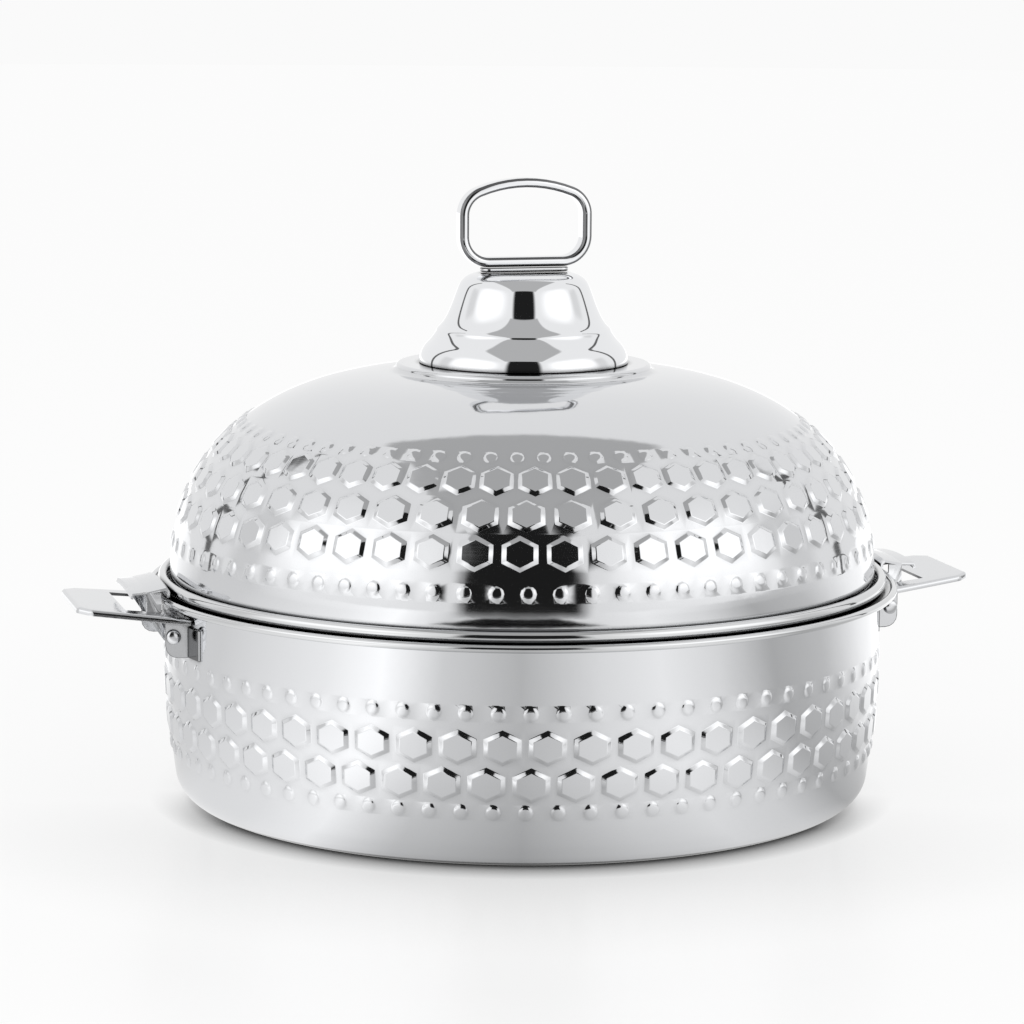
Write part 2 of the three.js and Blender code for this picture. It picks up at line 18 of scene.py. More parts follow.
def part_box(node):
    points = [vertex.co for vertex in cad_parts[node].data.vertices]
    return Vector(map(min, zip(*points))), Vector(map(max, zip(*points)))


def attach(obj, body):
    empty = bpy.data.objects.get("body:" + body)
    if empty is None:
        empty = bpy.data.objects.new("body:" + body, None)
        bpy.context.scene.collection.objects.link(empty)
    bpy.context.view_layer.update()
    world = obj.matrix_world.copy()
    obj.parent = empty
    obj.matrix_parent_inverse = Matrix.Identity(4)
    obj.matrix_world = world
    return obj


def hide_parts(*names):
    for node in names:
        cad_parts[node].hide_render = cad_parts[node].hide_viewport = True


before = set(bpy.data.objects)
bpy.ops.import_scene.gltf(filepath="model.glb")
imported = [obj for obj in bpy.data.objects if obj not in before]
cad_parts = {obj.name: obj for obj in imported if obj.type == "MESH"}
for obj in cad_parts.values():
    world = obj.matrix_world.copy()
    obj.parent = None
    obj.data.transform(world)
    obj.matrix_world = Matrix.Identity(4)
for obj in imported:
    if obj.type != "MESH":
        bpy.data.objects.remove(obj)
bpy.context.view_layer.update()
mm = 0.001

# %% [markdown]
# ## The camera
# The photograph looks at the casserole from a little above the rim, with the left handle turned
# towards the viewer by 15 degrees. A long lens at 1.5 m gives the same weak perspective. The
# tiny roll matches the rim, which lies a third of a degree lower on the right.

# %% Camera
view_azimuth = math.radians(-15)
view_elevation = math.radians(8.72)
view_roll = math.radians(0.35)
view_distance, aim_height, aim_left = 1.5, 0.11365, 0.00425
lens_length, film_width = 130.4, 36
towards = Vector((
    math.sin(view_azimuth) * math.cos(view_elevation),
    -math.cos(view_azimuth) * math.cos(view_elevation),
    math.sin(view_elevation),
))
right = Vector((math.cos(view_azimuth), math.sin(view_azimuth), 0))
ahead = Vector((math.sin(view_azimuth), -math.cos(view_azimuth), 0))
camera = bpy.data.objects.new("camera", bpy.data.cameras.new("camera"))
camera.data.lens = lens_length
camera.data.sensor_width = film_width
camera.location = Vector((0, 0, aim_height)) - right * aim_left + towards * view_distance
camera.rotation_mode = "QUATERNION"
rolled = Quaternion((0, 0, 1), view_roll)
camera.rotation_quaternion = (-towards).to_track_quat("-Z", "Y") @ rolled
bpy.context.collection.objects.link(camera)
bpy.context.scene.camera = camera
print("camera at", [round(v, 3) for v in camera.location])

# %% [markdown]
# ## Materials
# Every surface gets a shader built from nodes. One helper adds a node with its settings and
# links, and one turns the sRGB hex colour that a paint chart gives into the linear values that a
# shader takes. Numbers that are the same all over a surface go straight on the shader's sockets.

# %% Helpers for materials
def linear(hex_colour):
    """An sRGB hex colour as linear red, green, blue and alpha."""
    parts = [int(hex_colour[i:i + 2], 16) / 255 for i in (1, 3, 5)]
    return [*(p / 12.92 if p <= 0.04045 else ((p + 0.055) / 1.055) ** 2.4 for p in parts), 1.0]


def add(tree, kind, inputs=None, **settings):
    """Adds a node. Each input is a value, or another node's output to link from."""
    node = tree.nodes.new(kind)
    for name, value in settings.items():
        setattr(node, name, value)
    for name, value in (inputs or {}).items():
        if isinstance(value, bpy.types.NodeSocket):
            tree.links.new(value, node.inputs[name])
        else:
            node.inputs[name].default_value = value
    return node


def start(name, colour, metallic, roughness):
    """A new material with its shader's plain values set."""
    made = bpy.data.materials.new(name)
    made.use_nodes = True
    tree = made.node_tree
    shader = tree.nodes["Principled BSDF"]
    shader.inputs["Base Color"].default_value = linear(colour)
    shader.inputs["Metallic"].default_value = metallic
    shader.inputs["Roughness"].default_value = roughness
    return made, tree, shader


def bare_material(name):
    """A new material and its empty node tree."""
    made = bpy.data.materials.new(name)
    made.use_nodes = True
    made.node_tree.nodes.clear()
    return made, made.node_tree


# %% [markdown]
# ## Painted seam shade and painted dark edges
# Where two sheets meet, shade falls in the narrow gap, so every seam of the real pot shows a dark
# line along it. That shade is painted: an ambient occlusion node finds places with steel close by,
# and the steel's colour is mixed towards dark grey there. The edges of a sheet show dark
# reflections, and these are painted too: the pieces mark those faces, and their colour is made dark.

# %% Seams
painted_shade_colour = "#2c2c2d"
seam_samples = 8


def paint_seam_shade(tree, shader, colour, reach, closed=0.3, clear=0.75):
    """Paints shade into a steel where other steel is nearer than a reach in millimetres.

    It is darkest up to the closed share of open sky, and plain from the clear share on.
    """
    near = add(tree, "ShaderNodeAmbientOcclusion", {"Distance": reach * mm}, samples=seam_samples)
    open_share = add(tree, "ShaderNodeMapRange", {
        "Value": near.outputs["AO"], "From Min": closed, "From Max": clear,
    })
    tint = add(tree, "ShaderNodeMix", {
        0: open_share.outputs[0], 6: linear(painted_shade_colour), 7: linear(colour),
    }, data_type="RGBA")
    # Faces marked as edges get a painted dark reflection in their colour.
    darkened = add(tree, "ShaderNodeAttribute", attribute_name="painted_dark_edge")
    dark_mix = add(tree, "ShaderNodeMix", {
        0: darkened.outputs["Fac"], 6: tint.outputs[2], 7: linear(painted_shade_colour),
    }, data_type="RGBA")
    tree.links.new(dark_mix.outputs[2], shader.inputs["Base Color"])


def mark_painted_dark(bm, faces, share):
    """Marks faces to be painted dark, for a dark reflection, by a share from 0 to 1."""
    layer = bm.faces.layers.float.get("painted_dark_edge")
    for face in faces:
        face[layer] = share


# %% [markdown]
# ## Polished stainless steel
# The outside is 18/8 stainless steel, a nearly neutral grey metal, spun against a felt wheel. The
# wheel leaves hair lines that run round the axis, so a noise that reads only the distance from
# the axis and the height draws rings. The lines are really about 0.05 mm apart, and are drawn at
# 0.7 mm so that they show. A second, wide noise gives the slow waves of thin pressed sheet. The
# food side is left satin, with only its rolled rim buffed bright. The painted seam shade has wider
# limits here than on the fittings, which also paints a line of shade round the foot of each boss.

# %% Steel turned and polished about the axis
wave_pitch = 26
buffed_width, buffed_share = 3, 0.25
turned_reach, turned_closed, turned_clear = 2.5, 0.5, 0.94


def turned_steel(name, colour, rough, spread, line_pitch, line_depth, wave_depth, rim=None):
    """A steel with fine rings and slow waves. Its lengths are in millimetres."""
    made, tree, shader = start(name, colour, 1.0, rough)
    place = add(tree, "ShaderNodeTexCoord").outputs["Object"]
    flat = add(tree, "ShaderNodeVectorMath", {0: place, 1: (1, 1, 0)}, operation="MULTIPLY")
    radius = add(tree, "ShaderNodeVectorMath", {0: flat.outputs[0]}, operation="LENGTH")
    height = add(tree, "ShaderNodeSeparateXYZ", {0: place}).outputs["Z"]
    rings = add(tree, "ShaderNodeCombineXYZ", {"X": radius.outputs["Value"], "Y": height})
    lines = add(tree, "ShaderNodeTexNoise", {
        "Vector": rings.outputs[0], "Scale": 1 / (line_pitch * mm), "Detail": 2.0,
    }, noise_dimensions="2D")
    cloud = add(tree, "ShaderNodeTexNoise", {
        "Vector": place, "Scale": 1 / (wave_pitch * mm), "Detail": 3.0,
    })
    mixed = add(tree, "ShaderNodeMath", {
        0: lines.outputs["Fac"], 1: cloud.outputs["Fac"],
    }, operation="MULTIPLY")
    rough_map = add(tree, "ShaderNodeMapRange", {
        "Value": mixed.outputs[0], "From Min": 0.12, "From Max": 0.42,
        "To Min": rough - spread, "To Max": rough + spread,
    })
    hair_height = lines.outputs["Fac"]
    roughness = rough_map.outputs[0]
    if rim:
        buffed = add(tree, "ShaderNodeMapRange", {
            "Value": radius.outputs["Value"],
            "From Min": (rim - buffed_width) * mm, "From Max": rim * mm,
            "To Min": 1.0, "To Max": buffed_share,
        })
        roughness = add(tree, "ShaderNodeMath", {
            0: roughness, 1: buffed.outputs[0],
        }, operation="MULTIPLY").outputs[0]
        hair_height = add(tree, "ShaderNodeMath", {
            0: hair_height, 1: buffed.outputs[0],
        }, operation="MULTIPLY").outputs[0]
    tree.links.new(roughness, shader.inputs["Roughness"])
    waves = add(tree, "ShaderNodeBump", {
        "Height": cloud.outputs["Fac"], "Distance": wave_depth * mm, "Strength": 1.0,
    })
    hair = add(tree, "ShaderNodeBump", {
        "Height": hair_height, "Distance": line_depth * mm, "Strength": 1.0,
        "Normal": waves.outputs[0],
    })
    tree.links.new(hair.outputs[0], shader.inputs["Normal"])
    paint_seam_shade(tree, shader, colour, turned_reach, turned_closed, turned_clear)
    return made


shell_steel = turned_steel(
    "polished_pressed_steel", "#dcdddf", rough=0.07, spread=0.02,
    line_pitch=0.7, line_depth=0.0003, wave_depth=0.12,
)
knob_steel = turned_steel(
    "mirror_polished_steel", "#ebecee", rough=0.035, spread=0.01,
    line_pitch=0.5, line_depth=0.0002, wave_depth=0.01,
)
bowl_steel = turned_steel(
    "satin_food_side_steel", "#d6d7d8", rough=0.26, spread=0.05,
    line_pitch=0.8, line_depth=0.004, wave_depth=0.05, rim=136,
)
print("turned steels", shell_steel.name, knob_steel.name, bowl_steel.name)

# %% [markdown]
# ## Tumbled and drawn steel of the fittings
# Handles, clips and ears are cut from sheet and tumbled with stones, which rounds their edges and
# leaves a soft, directionless scuff. The springs are drawn wire with a greyer, duller skin. Both
# are the same steel with a fine grain in the roughness and a shallow bump.

# %% Fitting and wire steel
tumbled_reach = 4


def tumbled_steel(name, colour, rough, spread, grain, depth):
    """A steel with a directionless scuff, its grain and depth in millimetres."""
    made, tree, shader = start(name, colour, 1.0, rough)
    place = add(tree, "ShaderNodeTexCoord").outputs["Object"]
    scuff = add(tree, "ShaderNodeTexNoise", {
        "Vector": place, "Scale": 1 / (grain * mm), "Detail": 4.0, "Roughness": 0.6,
    })
    rough_map = add(tree, "ShaderNodeMapRange", {
        "Value": scuff.outputs["Fac"], "From Min": 0.3, "From Max": 0.7,
        "To Min": rough - spread, "To Max": rough + spread,
    })
    tree.links.new(rough_map.outputs[0], shader.inputs["Roughness"])
    bump = add(tree, "ShaderNodeBump", {
        "Height": scuff.outputs["Fac"], "Distance": depth * mm, "Strength": 1.0,
    })
    tree.links.new(bump.outputs[0], shader.inputs["Normal"])
    # Painted shade in the seams and painted dark edges, as on the turned steel.
    paint_seam_shade(tree, shader, colour, tumbled_reach)
    return made


fitting_steel = tumbled_steel(
    "tumbled_sheet_steel", "#d7d8da", rough=0.13, spread=0.04, grain=2.5, depth=0.006,
)
spring_steel = tumbled_steel(
    "drawn_spring_wire", "#a9abad", rough=0.34, spread=0.06, grain=0.8, depth=0.01,
)
print("fitting steels", fitting_steel.name, spring_steel.name)

# %% [markdown]
# ## Foam and moulded plastic
# The walls are filled with rigid polyurethane foam, cream coloured and dull, with closed cells
# of about half a millimetre that show where it is cut. They are drawn 1.4 mm wide. The plug in
# the base is black polyamide from a mould, with a fine spark-eroded texture.

# %% Foam and plug
cell_width, pore_depth, stain_width = 1.4, 0.25, 30
spark_width, spark_depth, nylon_ior = 0.4, 0.03, 1.53

rigid_foam, tree, shader = start("rigid_polyurethane_foam", "#e8dcb4", 0.0, 0.95)
place = add(tree, "ShaderNodeTexCoord").outputs["Object"]
cells = add(tree, "ShaderNodeTexVoronoi", {"Vector": place, "Scale": 1 / (cell_width * mm)})
stain = add(tree, "ShaderNodeTexNoise", {
    "Vector": place, "Scale": 1 / (stain_width * mm), "Detail": 3.0,
})
tint = add(tree, "ShaderNodeMix", {
    0: stain.outputs["Fac"], 6: linear("#efe5c4"), 7: linear("#dccd9c"),
}, data_type="RGBA")
tree.links.new(tint.outputs[2], shader.inputs["Base Color"])
pores = add(tree, "ShaderNodeBump", {
    "Height": cells.outputs["Distance"], "Distance": pore_depth * mm, "Strength": 1.0,
})
tree.links.new(pores.outputs[0], shader.inputs["Normal"])

black_nylon, tree, shader = start("moulded_black_polyamide", "#2b2c2e", 0.0, 0.55)
shader.inputs["IOR"].default_value = nylon_ior
place = add(tree, "ShaderNodeTexCoord").outputs["Object"]
spark = add(tree, "ShaderNodeTexNoise", {
    "Vector": place, "Scale": 1 / (spark_width * mm), "Detail": 2.0,
})
spark_rough = add(tree, "ShaderNodeMapRange", {
    "Value": spark.outputs["Fac"], "To Min": 0.48, "To Max": 0.66,
})
tree.links.new(spark_rough.outputs[0], shader.inputs["Roughness"])
grain = add(tree, "ShaderNodeBump", {
    "Height": spark.outputs["Fac"], "Distance": spark_depth * mm, "Strength": 1.0,
})
tree.links.new(grain.outputs[0], shader.inputs["Normal"])
print("dull materials", rigid_foam.name, black_nylon.name)

# %% [markdown]
# ## Profiles, and turning them
# A spun pot is a profile turned about its axis. Each profile is a short list of points in radius
# and height, in millimetres, with arcs and Bezier curves where the sheet bends. The spin operator
# turns it, and the solidify operator gives the sheet its thickness on the inner side. The whole
# mesh is scaled to metres once, when it is finished.

# %% Helpers for turned sheet
columns = 240
merge_distance = 0.0005


def curve(first, pull, push, last, steps):
    """Points along a Bezier curve in radius and height."""
    ends = [Vector(p) for p in (first, pull, push, last)]
    return [tuple(p) for p in interpolate_bezier(*ends, steps + 1)]


def arc(centre, radius, first, last, steps):
    """Points of an arc, its angles in degrees."""
    angles = [math.radians(first + (last - first) * i / steps) for i in range(steps + 1)]
    return [(centre[0] + radius * math.cos(a), centre[1] + radius * math.sin(a)) for a in angles]


def turn(bm, profile, steps=columns):
    """Spins a profile all the way round the Z axis."""
    verts = [bm.verts.new((r, 0, z)) for r, z in profile]
    edges = [bm.edges.new(pair) for pair in zip(verts, verts[1:])]
    bmesh.ops.spin(
        bm, geom=verts + edges, cent=(0, 0, 0), axis=(0, 0, 1), dvec=(0, 0, 0),
        angle=2 * math.pi, steps=steps, use_merge=True,
    )
    bmesh.ops.remove_doubles(bm, verts=bm.verts, dist=merge_distance)


def thicken(bm, wall):
    """Points the faces outwards and adds the sheet's thickness on the inside."""
    bmesh.ops.recalc_face_normals(bm, faces=bm.faces)
    bmesh.ops.solidify(bm, geom=bm.faces[:], thickness=wall)


def mesh_object(bm, name, material):
    """A new object in the scene from a bmesh in metres."""
    mesh = bpy.data.meshes.new(name)
    bm.to_mesh(mesh)
    bm.free()
    mesh.materials.append(material)
    made = bpy.data.objects.new(name, mesh)
    bpy.context.collection.objects.link(made)
    return made


def finish(bm, name, material, body, nodes, sharp=30):
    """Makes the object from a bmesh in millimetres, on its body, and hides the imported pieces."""
    bmesh.ops.scale(bm, vec=(mm, mm, mm), verts=bm.verts)
    made = mesh_object(bm, name, material)
    made.data.shade_smooth()
    made.data.set_sharp_from_angle(angle=math.radians(sharp))
    sheen = made.modifiers.new("flat_faces_stay_flat", "WEIGHTED_NORMAL")
    sheen.mode = "FACE_AREA"
    sheen.keep_sharp = True
    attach(made, body)
    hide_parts(*nodes)
    size = [round(v / mm, 1) for v in made.dimensions]
    print(name, size, "mm", len(made.data.polygons), "faces")


# %% [markdown]
# ## The hammered pattern
# Two press tools raise rows of flat-topped hexagons, with rows of round dots above and below, out
# of the sheet from inside. They could be a bump map, but their edges catch the light and break
# the outline, so they are real shapes here. One cell of sheet is a face whose border lies on the
# shell. Insets make the foot, the bevel and the top of its boss, and each new ring of corners is
# moved to its place. The spin operator copies the cell round the axis, and the neighbours'
# borders merge. Rows have different counts, so bridges join their edges.

# %% Helpers for the pattern
cell_border = (2, 2, 4, 2, 2)
new_inset, weld_distance, rim_slack = 0.1, 0.01, 0.04


def along(profile):
    """A function from a distance along a profile to the point there and its outward normal."""
    points = [Vector(p) for p in profile]
    reached = [0.0]
    for one, two in zip(points, points[1:]):
        reached.append(reached[-1] + (two - one).length)

    def at(distance):
        i = min(max(bisect_right(reached, distance) - 1, 0), len(points) - 2)
        run = points[i + 1] - points[i]
        heading = run.normalized()
        return points[i] + heading * (distance - reached[i]), Vector((heading.y, -heading.x))

    return at, reached[-1]


def outline(corners, counts):
    """Points round a closed outline, with each side cut into its count of equal parts."""
    points = []
    for one, two, count in zip(corners, corners[1:] + corners[:1], counts):
        points += [Vector(one).lerp(Vector(two), k / count) for k in range(count)]
    return points


def pressed(shell, middle, point, height, flat):
    """Where a point of a cell lies: on the shell, or on the flat of a boss at the cell's middle."""
    centre, normal = shell(middle)
    if flat:
        rise = Vector((-normal.y, normal.x))
        across = centre + normal * height + rise * point.y
        return Vector((across.x, point.x, across.y))
    place, normal = shell(middle + point.y)
    place = place + normal * height
    angle = point.x / centre.x
    return Vector((place.x * math.cos(angle), place.x * math.sin(angle), place.y))


def row(bm, shell, middle, half, count, phase, rings):
    """One row of bosses: a cell, its rings by insets, and its copies round the axis."""
    wide = math.pi * shell(middle)[0].x / count
    corners = [(0, half), (wide, half), (wide, -half), (-wide, -half), (-wide, half)]
    before = set(bm.verts)
    rim = [pressed(shell, middle, p, 0, False) for p in outline(corners, cell_border)]
    cell = bm.faces.new([bm.verts.new(p) for p in rim])
    for points, height, flat in rings:
        bmesh.ops.inset_individual(bm, faces=[cell], thickness=new_inset)
        for loop, point in zip(cell.loops, points):
            loop.vert.co = pressed(shell, middle, point, height, flat)
    verts = [v for v in bm.verts if v not in before]
    edges = {e for v in verts for e in v.link_edges}
    faces = {f for v in verts for f in v.link_faces}
    bmesh.ops.spin(
        bm, geom=[*verts, *edges, *faces], cent=(0, 0, 0), axis=(0, 0, 1), dvec=(0, 0, 0),
        angle=2 * math.pi * (count - 1) / count, steps=count - 1, use_duplicate=True,
    )
    verts = [v for v in bm.verts if v not in before]
    spun = Matrix.Rotation(view_azimuth - math.pi / 2 + math.radians(phase), 3, "Z")
    bmesh.ops.rotate(bm, verts=verts, cent=(0, 0, 0), matrix=spun)
    bmesh.ops.remove_doubles(bm, verts=verts, dist=weld_distance)


def bridge(bm, shell, lower, upper):
    """Joins the open edges at two distances along the shell."""
    edges = []
    for distance in (lower, upper):
        place = shell(distance)[0]
        edges += [e for e in bm.edges if e.is_boundary and all(
            abs(v.co.xy.length - place.x) + abs(v.co.z - place.y) < rim_slack for v in e.verts
        )]
    bmesh.ops.bridge_loops(bm, edges=edges)


# %% [markdown]
# A hexagon is 14.1 mm tall with a corner at its top. It is 14.6 mm wide on the bowl, and 13 to
# 14.2 mm on the lid. Its bevel climbs at about 30 degrees, and is rounded at its foot and its top
# edge. A dot is 6.2 to 6.6 mm across and domed. Each outline is a few corners, cut into as many
# parts as the border of its cell, so that every inset ring matches the one around it.

# %% One hexagon and one dot
hexagon_top, hexagon_side = 7.05, 3.55
hexagon_steps = ((1, 0, False), (0.93, 0.13, False), (0.77, 0.87, True), (0.69, 1, True))
dot_steps = ((1, 0), (0.78, 0.45), (0.42, 0.86))
ring_points = sum(cell_border)


def hexagon_rings(half, rise):
    """A hexagon's rings from its foot to its flat, by its half width."""
    corners = [
        (0, hexagon_top), (half, hexagon_side), (half, -hexagon_side),
        (0, -hexagon_top), (-half, -hexagon_side), (-half, hexagon_side),
    ]
    counts = [ring_points // len(corners)] * len(corners)
    return [
        (outline([(x * share, y * share) for x, y in corners], counts), rise * height, flat)
        for share, height, flat in hexagon_steps
    ]


def dot_rings(radius, rise):
    """A dot's rings from its foot to its crown, each a circle of points from the top."""
    made = []
    for share, height in dot_steps:
        last = 90 - 360 * (ring_points - 1) / ring_points
        circle = [Vector(p) for p in arc((0, 0), radius * share, 90, last, ring_points - 1)]
        made.append((circle, rise * height, False))
    return made


print("rings", [len(points) for points, height, flat in hexagon_rings(7, 0.8) + dot_rings(3.2, 0.9)])

# %% [markdown]
# ## The bowl's outer shell
# A deep-drawn cup with a drawn-in foot, a recess under its base with a filling hole, and the
# pattern round its lower half. Its wall leans out a little up to the band under the rim. Each row
# of the pattern has its middle along the wall, half its height, its count, its turn in degrees and
# the rings of its bosses.

# %% Outer shell
wall_start, wall_top = (140.39, 9.47), 85.0
wall_line = curve(wall_start, (142.5, 24.3), (144.2, 46), (144.2, 68), 48) + [(144.2, wall_top)]
wall, wall_length = along(wall_line)
plain_margin, plain_steps, shell_wall = 0.25, 6, 1.0
body_rows = [
    (13.1, 3.25, 74, 0.6, dot_rings(3.15, 0.95)),
    (23.7, 7.05, 54, 1.4, hexagon_rings(7.3, 1.0)),
    (38.0, 7.05, 54, 3.8, hexagon_rings(7.3, 1.0)),
    (50.9, 3.4, 75, 1.3, dot_rings(3.2, 0.9)),
]


def patterned(bm, shell, foot, rows, top):
    """Turns the plain sheet below and above the pattern, presses the rows and bridges the gaps."""
    first = rows[0][0] - rows[0][1] - plain_margin
    last = rows[-1][0] + rows[-1][1] + plain_margin
    turn(bm, foot + [tuple(shell(first * k / plain_steps)[0]) for k in range(plain_steps + 1)])
    length, head, steps = top
    turn(bm, [tuple(shell(last + (length - last) * k / steps)[0]) for k in range(steps + 1)] + head)
    level = first
    for middle, half, count, phase, rings in rows:
        row(bm, shell, middle, half, count, phase, rings)
        bridge(bm, shell, level, middle - half)
        level = middle + half
    bridge(bm, shell, level, last)
    print("open edges", sum(e.is_boundary for e in bm.edges))


foot_line = (
    [(8, 1.6), (60, 1.6), (112, 1.6)] + curve((112, 1.6), (114.5, 1.6), (114.5, 0), (117, 0), 6)[1:]
    + arc((129.5, 11), 11, -90, -8, 12)[:-1]
)
bm = bmesh.new()
patterned(bm, wall, foot_line, body_rows, (wall_length, [], 12))
thicken(bm, shell_wall)
finish(bm, "bowl_outer_shell", shell_steel, "bowl", ["outer_shell"], sharp=50)

# %% [markdown]
# ## The lid's dome
# The same press work on a round dome. Above the pattern the sheet is plain up to a low boss,
# where the knob stands, with a hole for its bolt.

# %% Lid dome
dome_line = curve((142.2, 91.8), (141.5, 128), (118, 167), (54, 171.6), 96)
dome, dome_length = along(dome_line)
lid_rows = [
    (12.9, 3.8, 75, 0.8, dot_rings(3.3, 0.9)),
    (27.7, 7.2, 52, -0.5, hexagon_rings(6.9, 0.8)),
    (42.5, 7.2, 48, 0.5, hexagon_rings(7.1, 0.8)),
    (57.4, 7.2, 54, 2.0, hexagon_rings(6.5, 0.8)),
    (68.35, 3.3, 72, -1.2, dot_rings(3.1, 0.85)),
]
boss_line = (
    curve((54, 171.6), (52.6, 171.8), (51.9, 172.3), (51.5, 173), 5)[1:]
    + arc((49.6, 172.9), 1.8, 5, 90, 6) + [(30, 174.7), (3.4, 174.7)]
)
bm = bmesh.new()
patterned(bm, dome, [(142.2, 87.9), (142.2, 90)], lid_rows, (dome_length, boss_line, 36))
thicken(bm, shell_wall)
finish(bm, "lid_dome", shell_steel, "lid", ["lid_shell"], sharp=50)

# %% [markdown]
# ## The inner bowl and the lid's liner
# The inner bowl is a plain drawn pan. Its flange runs out over the foam and is rolled round the
# outer shell's edge as a bead. The liner closes the lid the same way: its lip enters the bowl,
# and its rolled edge rests on the bowl's rim. Food touches both, so they are satin inside.

# %% Inner bowl
bowl_wall = 0.9
bowl_line = (
    [(0, 12.5), (40, 12.5), (80, 12.5)] + arc((108.5, 28.5), 16, -90, -4, 14)
    + curve((124.46, 27.4), (125.4, 45), (128.5, 70), (128.5, 84.8), 12)[1:]
    + arc((130, 84.8), 1.5, 180, 90, 6)[1:] + [(140, 86.3), (147, 86.3)]
    + arc((150, 85.8), 1.5, 160, -140, 20)
)
bm = bmesh.new()
turn(bm, bowl_line)
thicken(bm, bowl_wall)
finish(bm, "bowl_food_side", bowl_steel, "bowl", ["inner_bowl"])

# %% Lid liner
liner_wall = 0.6
bead_centre, bead_wide, bead_tall = (145.0, 89.0), 2.0, 2.4
bead_line = [
    (bead_centre[0] + bead_wide * x, bead_centre[1] + bead_tall * y)
    for x, y in arc((0, 0), 1, -112, 140, 18)
]
liner_line = (
    [(0, 158.5)] + curve((0, 158.5), (106, 158.5), (126, 120), (126, 87.6), 40)[1:]
    + [(126, 81.6), (127.4, 81.6), (127.6, 82.4), (127.6, 86.6), (132, 86.62), (142.5, 86.62)] + bead_line
)
bm = bmesh.new()
turn(bm, liner_line)
thicken(bm, liner_wall)
finish(bm, "lid_food_side", bowl_steel, "lid", ["lid_liner"])

# %% [markdown]
# ## The knob
# The bell is spun from sheet and mirror polished. It has a bright rolled foot, a hollow waist, a
# soft crease and a tall rounded crown. A bolt from inside the lid draws it down by a hidden nut.
# A saddle bar lies across the crown and carries the ring handle, a bent flat bar whose edges are
# ground round.

# %% Bell
bell_wall, bell_columns = 1.2, 144
bell_line = (
    [(0, 211), (8, 211), (16, 211)] + curve((16, 211), (21, 211), (24.3, 209.2), (25.8, 206.3), 12)[1:]
    + curve((25.8, 206.3), (27.8, 202.3), (30.3, 192.3), (34.0, 189.2), 18)[1:]
    + curve((34.0, 189.2), (34.6, 188.7), (34.9, 188.3), (35.05, 187.8), 4)[1:]
    + curve((35.05, 187.8), (35.4, 186.65), (37, 184.4), (38.4, 183), 8)[1:]
    + curve((38.4, 183), (40.24, 181.2), (42, 178.6), (42, 175), 12)[1:]
)
bm = bmesh.new()
turn(bm, bell_line, bell_columns)
thicken(bm, bell_wall)
finish(bm, "knob_bell_polished", knob_steel, "lid", ["knob_bell"])

# %% Helper for rounded edges
def round_edges(bm, edges, offset, segments, clamp=False):
    """Rounds edges with a bevel and returns its faces."""
    made = bmesh.ops.bevel(
        bm, geom=edges, offset=offset, segments=segments, profile=0.5, affect="EDGES",
        clamp_overlap=clamp, material=-1,
    )
    bm.normal_update()
    return made["faces"]


# %% Saddle bar
saddle_corner, saddle_edge, saddle_darkness, saddle_facing = 3.4, 0.7, 0.85, 0.6
saddle_low, saddle_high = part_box("knob_saddle")
bm = bmesh.new()
bm.faces.layers.float.new("painted_dark_edge")
bmesh.ops.create_cube(bm, size=1)
bmesh.ops.scale(bm, vec=(saddle_high - saddle_low) / mm, verts=bm.verts)
bmesh.ops.translate(bm, vec=(saddle_high + saddle_low) / 2 / mm, verts=bm.verts)
upright = [e for e in bm.edges if abs(e.verts[0].co.z - e.verts[1].co.z) > 1]
round_edges(bm, upright, saddle_corner, 8)
flat_edges = [e for e in bm.edges if abs(e.verts[0].co.z - e.verts[1].co.z) < 0.1]
rounded = round_edges(bm, flat_edges, saddle_edge, 4)
# Rounded faces turned up or down get painted shade along the bar's edges.
mark_painted_dark(bm, [face for face in rounded if abs(face.normal.z) > saddle_facing], saddle_darkness)
finish(bm, "knob_saddle_bar", knob_steel, "lid", ["knob_saddle"], sharp=50)

# %% Ring handle
ring_low, ring_high = (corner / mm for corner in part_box("ring_handle"))
ring_half, ring_depth, ring_band = ring_high.x, ring_high.y - ring_low.y, 3.9
low_corner, high_corner, arch_radius = 12, 12, 54
ring_edge, ring_darkness, dark_from, dark_to = 1.8, 0.8, 0.45, 0.93


def ring_outline(margin):
    """The handle's closed outline in X and Z, in by a margin from its outer edge."""
    half, low = ring_half - margin, ring_low.z + margin
    inner_low, inner_high = low_corner - margin, high_corner - margin
    reach, apart = ring_half - high_corner, arch_radius - high_corner
    lean = math.degrees(math.asin(reach / apart))
    arch_centre = ring_high.z - arch_radius
    corner_centre = arch_centre + math.sqrt(apart ** 2 - reach ** 2)
    return (
        arc((half - inner_low, low + inner_low), inner_low, -90, 0, 12)
        + arc((reach, corner_centre), inner_high, 0, 90 - lean, 12)
        + arc((0, arch_centre), arch_radius - margin, 90 - lean * 0.8, 90 + lean * 0.8, 8)
        + arc((-reach, corner_centre), inner_high, 90 + lean, 180, 12)
        + arc((inner_low - half, low + inner_low), inner_low, 180, 270, 12)
    )


bm = bmesh.new()
bm.faces.layers.float.new("painted_dark_edge")
loops = []
for margin in (0, ring_band):
    verts = [bm.verts.new((x, ring_low.y, z)) for x, z in ring_outline(margin)]
    loops += [bm.edges.new(pair) for pair in zip(verts, verts[1:] + verts[:1])]
bmesh.ops.bridge_loops(bm, edges=loops)
front = bm.faces[:]
made = bmesh.ops.extrude_face_region(bm, geom=front)
back = [v for v in made["geom"] if isinstance(v, bmesh.types.BMVert)]
bmesh.ops.translate(bm, vec=(0, ring_depth, 0), verts=back)
bmesh.ops.recalc_face_normals(bm, faces=bm.faces)
rims = [e for e in bm.edges if e.calc_face_angle(0) > math.radians(60)]
rounded = round_edges(bm, rims, ring_edge, 8)
# Rounded faces turned part way to the front or back get a painted dark reflection.
mark_painted_dark(bm, [face for face in rounded if dark_from < abs(face.normal.y) < dark_to], ring_darkness)
finish(bm, "knob_ring_handle", knob_steel, "lid", ["ring_handle"], sharp=50)

